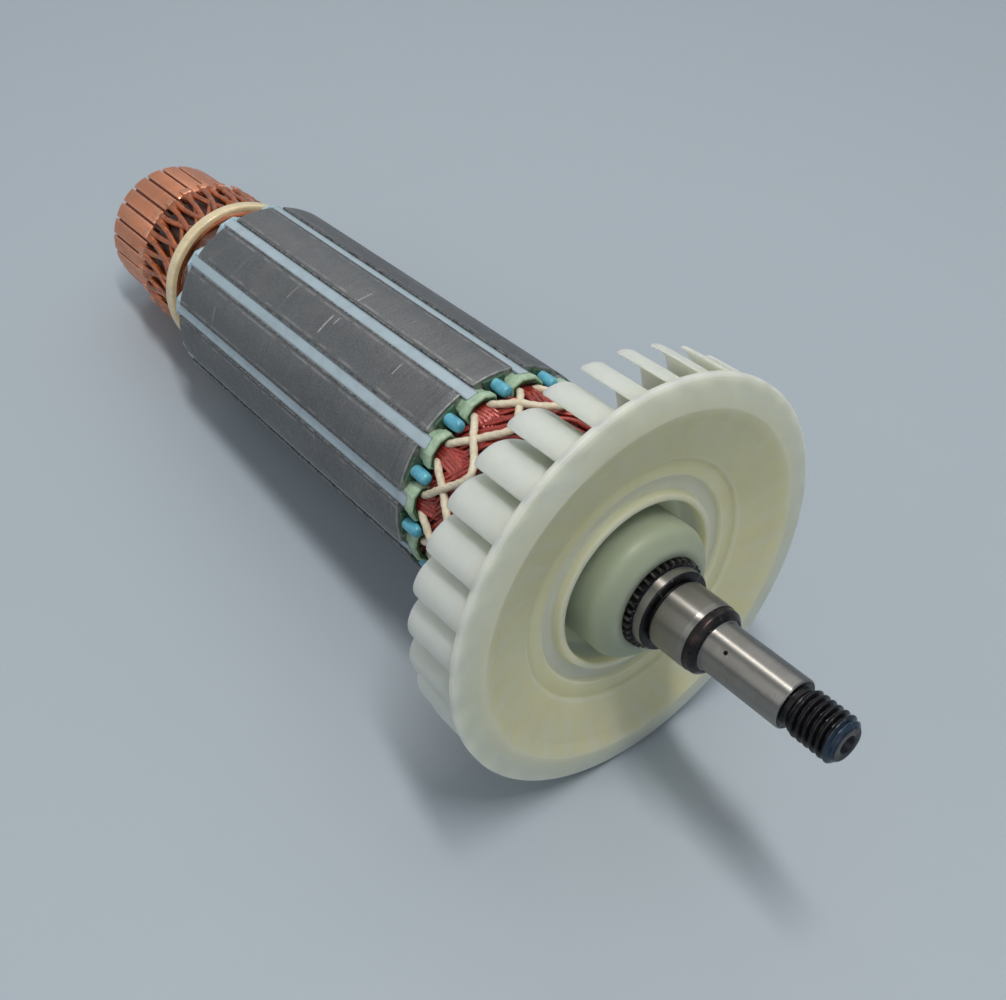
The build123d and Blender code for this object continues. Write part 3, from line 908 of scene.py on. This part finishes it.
def liner_loop(offset, i):
    """Section of the folded slot paper, offset outwards, with rounded folds."""
    half = [(15.8 - offset, 1.6 + offset * 0.8), (24.25 + offset * 0.15, 4.0 + offset),
            (25.75 + offset, 1.6 + offset * 0.7)]
    corners = half + [(x, -y) for x, y in reversed(half)]
    return [in_slot(x, y, i) for x, y in soften([(x, y, 0.7) for x, y in corners])]


class ARMATURE_OT_core(bpy.types.Operator):
    """Makes the slotted core and its folded slot paper, and finishes its wedges and insulating discs"""
    bl_idname = "armature.core"
    bl_label = "Core"

    def execute(self, context):
        settings = context.scene.armature_core
        sheet = sheet_steel_finish(settings.sheet)
        shape = Shape()
        barrel = [(-0.3 - 103.4 * k / 20, 0.0) for k in range(1, 21)]
        stations = [(0.0, 0.16), (-0.12, 0.04), (-0.3, 0.0)] + barrel + [(-103.88, 0.04), (CORE_REAR, 0.16)]
        rows = [[(s, x, y) for x, y in core_outline(inset)] for s, inset in stations]
        shape.skin(rows)
        bores = [ring(s, CORE_BORE, 96) for s in (0.0, CORE_REAR)]
        shape.skin(bores)
        for row, bore in zip((rows[0], rows[-1]), bores):
            shape.cap([row, bore])
        shape.make("laminated_core", [sheet], ["lamination_stack"], 24.0)

        paper = plastic_finish(
            "Slot Paper", settings.liner, tint(118, 152, 122), 0.42, 0.6, 0.6, 2.2, 0.3,
            wear=tint(214, 224, 202), rear=tint(176, 204, 216), **THIN)
        # painted shade: the inside of the paper is a darker copy of it, for the shade inside the folds
        shaded_inner_paper = plastic_finish("Slot Paper Inside In Painted Shade", tint(66, 112, 76), tint(34, 70, 46), 0.5, 0.7, 0.6, 2.2, 0.3)
        thick = settings.cuff * 1000
        outer = [(-107.4, thick * 0.4), (-107.25, thick * 0.55), (-106.9, thick * 0.6), (-105.4, 0.0),
                 (-104.9, -0.02), (0.85, -0.02), (1.3, 0.1), (1.9, thick * 0.55),
                 (3.75, thick * 0.6 + 0.1), (4.05, thick * 0.5), (4.2, thick * 0.25)]
        inner = [(4.2, thick * 0.02), (4.15, -thick * 0.5), (3.9, -thick * 0.95), (3.2, -thick * 1.0),
                 (1.5, -0.5), (0.0, -0.36), (CORE_REAR, -0.36), (-107.0, -0.5), (-107.4, -0.1)]
        for i in range(SLOTS):
            shape = Shape()
            lift = random.Random(40 + i).uniform(-0.25, 0.25)
            swayed = [(s, off + 0.15 * (lift * max(0.0, s - 1.0) / 3.2)) for s, off in outer]
            rows = [[(s, *p) for p in liner_loop(off, i)] for s, off in swayed + inner]
            shape.skin(rows, along=True, zone=[0] * len(outer) + [1] * len(inner))
            shape.make(f"slot_paper_{i + 1:02d}", [paper, shaded_inner_paper], [f"slot_liner_{i + 1:02d}"], 60.0)

        # the wedges' long edges take a dark colour as painted shade
        strip = plastic_finish(
            "Slot Wedge", settings.wedge, tint(150, 168, 178), 0.14, 0.24, 0.09, 0.5, 0.06, wear=tint(40, 46, 52),
            stretch=(0.12, 1.0, 1.0), edges=wedge_shade_edges, Coat_Weight=0.25, Coat_Roughness=0.15)
        plate = plastic_finish("End Insulator", tint(58, 92, 70), tint(34, 58, 44), 0.45, 0.65, 0.5, 2.0, 0.3,
                               edges=step_edges(0.8, -104.8))
        for i in range(SLOTS):
            dress(f"slot_wedge_{i + 1:02d}", strip, 0.12)
        for node in ("end_insulator_front", "end_insulator_rear"):
            dress(node, plate, 0.1)
        sleeve = plastic_finish("Shaft Sleeve", tint(112, 66, 40), tint(72, 40, 24), 0.4, 0.6, 0.4, 2.0, 0.25,
                                edges=step_edges(27.4, -121.0))
        dress("shaft_insulation_sleeve", sleeve)
        return {"FINISHED"}


# Winding heads, cord and pegs

COIL_SPAN = 5
LANES = 66


def flat_share(angle):
    """How far out a twelve-sided ring lies at an angle from one of its corners, as a share of the corner."""
    return math.cos(math.radians(15.0)) / math.cos(math.radians((angle + 15.0) % 30.0 - 15.0))


def head_form(stations, shrink):
    """Twelve-sided body with a corner over each slot."""
    angles = [j * 5.0 for j in range(SLOTS * 6)]
    return [[polar(s, (corner - shrink) * flat_share(a), SLOT_PHASE + a) for a in angles] for s, corner in stations]


def coil_path(i, span, rank, across, depth, face, tip, low, rng):
    """One wire of a head: out of slot i, round the sleeve and into the slot that is span slots on."""
    sign = 1 if tip > face else -1
    start, turn = slot_angle(i) + across, SLOT_PITCH * span
    outer = 23.4 - depth
    inner = low + rank * 0.85 + rng.uniform(-0.2, 0.2)
    reach = abs(tip - face) * (0.45 + 0.5 * rank / 12.0) * rng.uniform(0.9, 1.04)
    points = [polar(face - sign * 1.5, outer, start), polar(face + sign * 0.8, outer + 0.1, start)]
    for k in range(1, 12):
        t = k / 12.0
        bow = math.sin(math.pi * t) ** 0.62
        ease = t - 0.13 * math.sin(math.tau * t) / 1.3
        radius = outer - (outer - inner) * math.sin(math.pi * t) ** 0.9
        points.append(polar(face + sign * (1.2 + reach * bow) + rng.uniform(-0.12, 0.12),
                            radius + rng.uniform(-0.12, 0.12), start + (turn - 2 * across) * ease))
    finish = start + turn - 2 * across
    return points + [polar(face + sign * 0.8, outer + 0.1, finish), polar(face - sign * 1.5, outer, finish)]


def cord_route(start):
    """Straight runs from the foot of each fold, over the flat and under the blades, once round the head."""
    points = []
    rise = 0.45 if start else -0.3
    for i in range(SLOTS):
        a = slot_angle(i)
        if (i + start) % 2 == 0:
            run = [(-5.6, 4.4, 23.55), (-4.2, 3.3, 22.6), (4.2, 3.3, 22.6), (5.6, 4.4, 23.55),
                   (9.5, 6.6, 23.95), (15.0, 9.2, 24.0 + rise), (20.5, 11.8, 24.2)]
        else:
            run = [(-5.0, 14.0, 24.6), (0.0, 15.2, 24.85), (5.0, 14.0, 24.6),
                   (9.5, 11.8, 24.2), (15.0, 9.2, 24.0 + rise), (20.5, 6.6, 23.95)]
        points += [polar(s, radius, a + turn) for turn, s, radius in run]
    return points


class ARMATURE_OT_winding(bpy.types.Operator):
    """Makes the enamelled winding with both heads, its lacing cord and its pegs"""
    bl_idname = "armature.winding"
    bl_label = "Winding"

    def execute(self, context):
        settings = context.scene.armature_winding
        enamel = plastic_finish(
            "Enamelled Wire", settings.enamel, tint(96, 22, 20), 0.22, 0.4, 0.9, 3.0, 0.1,
            wear=tint(206, 110, 96), rear=tint(168, 98, 52), Metallic=0.35, Coat_Weight=0.35, Coat_Roughness=0.2)
        # painted shade: dark bodies under the wires and in the slots fill the gaps between the wires
        shadow = plastic_finish("Winding In Painted Shade", tint(70, 18, 16), tint(34, 8, 8), 0.4, 0.6, 0.8, 2.0, 0.3,
                                rear=tint(84, 44, 24))
        shape = Shape()
        front = [(3.0, 21.6), (5.4, 22.9), (18.4, 22.9), (23.2, 20.8), (27.2, 17.0), (27.2, 10.4)]
        rear = [(-121.3, 10.4), (-121.3, 20.9), (-118.2, 21.0), (-111.4, 23.2), (-106.4, 23.2)]
        shape.skin(head_form([(3.0, 10.4)] + front, 0.9), zone=1)
        shape.skin(head_form(rear + [(-106.4, 10.4)], 0.6), zone=1)
        section = [(16.1, 1.2), (24.0, 3.55), (25.3, 1.3), (25.3, -1.3), (24.0, -3.55), (16.1, -1.2)]
        for i in range(SLOTS):
            shape.block([[(s, *in_slot(x, y, i)) for x, y in section] for s in (-107.0, 2.6)], 1)
        rng = random.Random(12)
        radius = settings.wire * 500
        # front and rear head: wires, spread, unevenness, first layer, layer depth, face, tip, lowest radius
        heads = ((settings.wires_per_coil, 2.0, 0.35, 0.0, 1.25, 3.6, 27.0, 11.6),
                 (settings.wires_per_coil - 5, 1.9, 0.3, 0.3, 1.2, -106.8, -120.6, 11.8))
        for rank in range(SLOTS):
            i = (rank * COIL_SPAN) % SLOTS
            for wires, spread, uneven, first, layer, face, tip, low in heads:
                for w in range(wires):
                    across = (w % 5 - 2) * spread + rng.uniform(-uneven, uneven)
                    depth = first + (w // 5) * layer + rng.uniform(0.0, 0.3)
                    path = coil_path(i, COIL_SPAN, rank, across, depth, face, tip, low, rng)
                    shape.sweep(flow(path, 3), radius, 6)
        # outer wires, laid side by side round the head from each slot over the next two
        for w in range(LANES):
            a0 = SLOT_PHASE + 360.0 * w / LANES + rng.uniform(-0.7, 0.7)
            sink, lean = rng.uniform(-0.35, 0.15), rng.uniform(60.0, 72.0)
            points = []
            for k in range(16):
                t = k / 15.0
                a = a0 - lean * t
                s = 3.0 + 19.0 * t
                crown = 23.2 if s < 18 else 23.2 - (s - 18.0) * 0.62
                radius_here = (crown + sink - 0.9 * (1 - t) ** 6) * flat_share(a - SLOT_PHASE)
                points.append(polar(s, radius_here + rng.uniform(-0.1, 0.1), a))
            shape.sweep(flow(points, 2), radius, 7)
        shape.make("wound_heads", [enamel, shadow], ["armature_winding"], 60.0)

        twine = plastic_finish("Waxed Cord", settings.cord, tint(196, 180, 150), 0.4, 0.6, 0.8, 4.0, 0.3,
                               wear=tint(240, 234, 218), **FIBRE)
        shape = Shape()
        for start in (0, 1):
            shape.sweep(flow(cord_route(start), 5, closed=True), settings.cord_width * 500, 14,
                        lobes=3, twist=0.9, depth=0.07, closed=True)
        shape.make("laced_cord", [twine], ["lacing_cord"], 60.0)

        blue = plastic_finish(
            "Peg", settings.peg, tint(44, 128, 160), 0.22, 0.36, 0.5, 2.5, 0.12, wear=tint(176, 226, 240),
            Coat_Weight=0.2, Coat_Roughness=0.2, **THIN)
        shape = Shape()
        profile = [(0.8, 0.0), (0.8, 1.2), (0.95, 1.42), (3.0, 1.5), (4.5, 1.44), (5.15, 1.28),
                   (5.5, 0.95), (5.62, 0.5), (5.65, 0.0)]
        for i in range(SLOTS):
            centre = Vector(polar(0.0, 25.0, slot_angle(i) + SLOT_PITCH / 2))
            shape.skin([[tuple(Vector((s, 0, 0)) + centre + Vector(p)) for p in ring(0.0, r, 18)] for s, r in profile])
        shape.make("blue_pegs", [blue], ["end_pegs"], 50.0)
        return {"FINISHED"}


# Commutator, leads and band


def bar_rows():
    """Sections of one bar along the shaft, in its own plane: x outwards, y across."""
    edge = math.radians(BAR_PITCH / 2)
    foot, chamfer, half_gap = 15.5, 0.35, 0.33

    def half_width(x):
        return (x * math.sin(edge) - half_gap) / math.cos(edge)

    def section(top, trim=0.0):
        side = [(x, half_width(x) - trim) for x in (foot, top - chamfer)]
        wide = math.degrees(math.asin(max(half_width(top) - 0.22 - trim, 0.1) / top))
        crown = [polar(0.0, top, wide * k / 4)[1:] for k in range(-4, 5)]
        return [(x, -y) for x, y in side] + crown + side[::-1]

    return [(-163.2, section(19.3, 0.12)), (-163.0, section(19.55)), (-162.7, section(BAR_RADIUS)),
            (-142.9, section(BAR_RADIUS)), (-142.5, section(19.5)), (-142.2, section(19.2, 0.1))]


def hook_rows():
    """Sections of a riser that turns back over its lead: each is a distance across and points along and outwards."""
    outer = [(-138.5, 17.6), (-138.5, 20.2), (-138.75, 21.1), (-139.5, 21.5), (-141.4, 21.5), (-142.1, 21.3)]
    inner = [(-142.1, 20.75), (-141.4, 20.75), (-140.0, 20.7), (-139.5, 20.3), (-139.45, 19.5), (-142.4, 19.3),
             (-142.4, 17.6)]
    strip = [Vector(p) for p in soften([(s, r, 0.25) for s, r in outer + inner], steps=3)]
    middle = Vector((-140.3, 19.6))
    rows = []
    for y, shrink in ((-1.3, 0.12), (-1.18, 0.0), (1.18, 0.0), (1.3, 0.12)):
        rows.append((y, [p + (middle - p).normalized() * shrink for p in strip]))
    return rows


class ARMATURE_OT_commutator(bpy.types.Operator):
    """Makes the copper bars with their hooks, the leads and the band, and finishes the resin carrier"""
    bl_idname = "armature.commutator"
    bl_label = "Commutator"

    def execute(self, context):
        settings = context.scene.armature_commutator
        copper = copper_finish(settings.copper)
        sections, hook = bar_rows(), hook_rows()
        for i in range(BARS):
            a = math.radians(BAR_PHASE + i * BAR_PITCH)
            shape = Shape()
            shape.block([[(s, *turned(x, y, a)) for x, y in points] for s, points in sections])
            shape.block([[(p.x, *turned(p.y, y, a)) for p in row] for y, row in hook])
            shape.make(f"copper_bar_{i + 1:02d}", [copper], [f"commutator_bar_{i + 1:02d}"], 35.0)

        resin = plastic_finish("Moulded Resin", tint(112, 56, 34), tint(70, 34, 20), 0.4, 0.6, 0.6, 2.5, 0.3,
                               edges=step_edges(-163.2, -139.0))
        dress("commutator_hub", resin)

        varnish = plastic_finish(
            "Varnished Lead", settings.lead, tint(92, 40, 22), 0.18, 0.36, 0.5, 2.2, 0.12, wear=tint(216, 150, 104),
            Metallic=0.45, Coat_Weight=0.5, Coat_Roughness=0.15)
        # painted shade: the dark cone under the leads fills the gaps between them
        dark = plastic_finish("Painted Shade In The Gaps", tint(66, 28, 13), tint(34, 14, 8), 0.3, 0.5, 0.6, 2.0, 0.3)
        shape = Shape()
        cone = [(-121.4, 10.4), (-121.4, 19.9), (-130.0, 19.2), (-138.4, 18.9), (-138.4, 10.4)]
        shape.skin([ring(s, r, 96) for s, r in cone], zone=1)
        rng = random.Random(7)
        for i in range(BARS):
            bar = BAR_PHASE + i * BAR_PITCH
            for shift, lift, size, lean in ((-0.7, 0.0, 0.85, -10.0), (0.7, 0.35, 0.85, 14.0), (0.0, -0.5, 0.8, 26.0)):
                swing = lean + rng.uniform(-4, 4)
                points = []
                for n in range(9):
                    t = n / 8.0
                    radius = 20.75 + (lift - 0.5) * math.sin(math.pi * t) + rng.uniform(-0.22, 0.18)
                    points.append(polar(-119.9 - 18.6 * t, radius - (0.9 if t == 0 else 0.0),
                                        bar + swing * (1 - t) ** 1.4 + shift * 3.6 * t))
                points.append(polar(-140.4, 20.1, bar + shift * 2.6))
                shape.sweep(flow(points, 3), size, 8)
        shape.make("varnished_leads", [varnish, dark], ["winding_leads"], 60.0)

        tape = plastic_finish(
            "Band", settings.band, tint(214, 194, 150), 0.2, 0.36, 0.4, 1.2, 0.2, wear=tint(250, 244, 226),
            Coat_Weight=0.4, Coat_Roughness=0.12, **FIBRE)
        shape = Shape()
        profile = soften([(-121.6, 21.0, 0.3), (-121.6, 22.75, 1.1), (-117.9, 22.8, 1.1), (-117.9, 21.0, 0.3)], steps=5)
        waves = []
        for j in range(192):
            a = 360.0 * j / 192
            waves.append((a, 0.05 * math.sin(math.radians(a * 3 + 20)) + 0.03 * math.sin(math.radians(a * 11 + 50))))
        shape.skin([[polar(s + wave * 2, r - 0.05 + wave * (1 if r > 21.8 else 0), a) for a, wave in waves]
                    for s, r in profile], along=True)
        shape.make("rear_band", [tape], ["binding_band"], 60.0)
        return {"FINISHED"}


# Stage


LAMP_TINT = (1.0, 0.975, 0.93)


def area_lamp(name, place, target, width, height, power):
    lamp = bpy.data.lights.new(name, "AREA")
    lamp.shape, lamp.size, lamp.size_y, lamp.energy, lamp.color = "RECTANGLE", width, height, power, LAMP_TINT
    holder = bpy.data.objects.new(name, lamp)
    holder.location = place
    holder.rotation_mode = "QUATERNION"
    holder.rotation_quaternion = (Vector(target) - Vector(place)).to_track_quat("-Z", "Y")
    bpy.context.scene.collection.objects.link(holder)


class ARMATURE_OT_stage(bpy.types.Operator):
    """Makes the floor, the lamps, the world and the camera"""
    bl_idname = "armature.stage"
    bl_label = "Stage"

    def execute(self, context):
        settings = context.scene.armature_stage
        scene = context.scene
        mesh = bpy.data.meshes.new("floor")
        work = bmesh.new()
        bmesh.ops.create_grid(work, x_segments=24, y_segments=24, size=4.0)
        work.to_mesh(mesh)
        work.free()
        ground = bpy.data.materials.new("Painted Floor")
        ground.use_nodes = True
        g = Graph(ground.node_tree)
        shader = next(n for n in ground.node_tree.nodes if n.type == "BSDF_PRINCIPLED")
        place = g.add("ShaderNodeTexCoord").outputs["Object"]
        cloud = g.noise(place, 3.0, 3.0)
        darker = tuple(0.9 * v for v in settings.floor)
        g.put(shader.inputs["Base Color"], g.mix(g.times(cloud, 0.25), settings.floor, darker))
        g.put(shader.inputs["Roughness"], g.span(g.noise(place, 60.0, 4.0), 0.3, 0.7, 0.5, 0.6))
        bump = g.add("ShaderNodeBump", {"Strength": 0.05, "Distance": 0.0003, "Height": g.noise(place, 700.0, 2.0)})
        g.put(shader.inputs["Normal"], bump.outputs[0])
        mesh.materials.append(ground)
        floor = bpy.data.objects.new("floor", mesh)
        scene.collection.objects.link(floor)

        centre = (0.0, 0.0, 0.045)
        for name, place, width, height, share in (
                ("key", (-0.35, 0.5, 0.95), 1.5, 1.2, 0.95), ("fill", (0.8, -0.6, 0.75), 1.0, 0.8, 0.4),
                ("top", (0.2, -0.05, 1.1), 0.09, 0.6, 1.5), ("side", (-0.45, -0.95, 0.7), 1.3, 1.0, 0.62)):
            area_lamp(name, place, centre, width, height, settings.key_power * share)

        world = bpy.data.worlds.new("studio")
        world.use_nodes = True
        g = Graph(world.node_tree)
        sky = next(n for n in world.node_tree.nodes if n.type == "BACKGROUND")
        path = g.add("ShaderNodeLightPath")
        seen = g.most(*(path.outputs[f"Is {kind} Ray"] for kind in ("Camera", "Glossy", "Transmission")))
        g.put(sky.inputs["Color"], tuple(settings.floor) + (1.0,))
        g.put(sky.inputs["Strength"], g.between(seen, 0.5, 1.0))
        scene.world = world

        lens = bpy.data.cameras.new("camera")
        lens.sensor_fit, lens.sensor_width, lens.lens = "AUTO", 36.0, 43.87
        camera = bpy.data.objects.new("camera", lens)
        eye = ORIGIN + in_world(0.1773, -0.13106, 0.16715)
        ahead = in_world(-0.6280, 0.4702, -0.6201).normalized()
        top = in_world(-0.4801, 0.3931, 0.7842)
        right = ahead.cross(top).normalized()
        above = right.cross(ahead)
        basis = Matrix((right, above, -ahead)).transposed().to_4x4()
        camera.matrix_world = Matrix.Translation(eye) @ basis
        lens.clip_start, lens.clip_end = 0.01, 30.0
        scene.collection.objects.link(camera)
        scene.camera = camera
        scene.view_settings.view_transform = "Standard"
        return {"FINISHED"}


class ARMATURE_PT_panel(bpy.types.Panel):
    bl_idname = "ARMATURE_PT_panel"
    bl_label = "Motor Armature"
    bl_space_type = "VIEW_3D"
    bl_region_type = "UI"
    bl_category = "Armature"

    def draw(self, context):
        for name, _, operator in PARTS:
            box = self.layout.box()
            box.operator(operator.bl_idname)
            settings = getattr(context.scene, name)
            for key in settings.__annotations__:
                box.prop(settings, key)


# Settings, their class and the operator that uses them, in the order in which main calls them
PARTS = [
    ("armature_stage", ArmatureStageSettings, ARMATURE_OT_stage),
    ("armature_fan", ArmatureFanSettings, ARMATURE_OT_fan),
    ("armature_shaft", ArmatureShaftSettings, ARMATURE_OT_shaft),
    ("armature_core", ArmatureCoreSettings, ARMATURE_OT_core),
    ("armature_winding", ArmatureWindingSettings, ARMATURE_OT_winding),
    ("armature_commutator", ArmatureCommutatorSettings, ARMATURE_OT_commutator),
]
CLASSES = [kind for part in PARTS for kind in part[1:]] + [ARMATURE_PT_panel]


def register():
    for kind in CLASSES:
        bpy.utils.register_class(kind)
    for name, kind, _ in PARTS:
        setattr(bpy.types.Scene, name, bpy.props.PointerProperty(type=kind))


def unregister():
    for name, _, _ in PARTS:
        delattr(bpy.types.Scene, name)
    for kind in reversed(CLASSES):
        bpy.utils.unregister_class(kind)


def main():
    register()
    for _, _, operator in PARTS:
        group, name = operator.bl_idname.split(".")
        getattr(getattr(bpy.ops, group), name)()


if __name__ == "__main__":
    main()
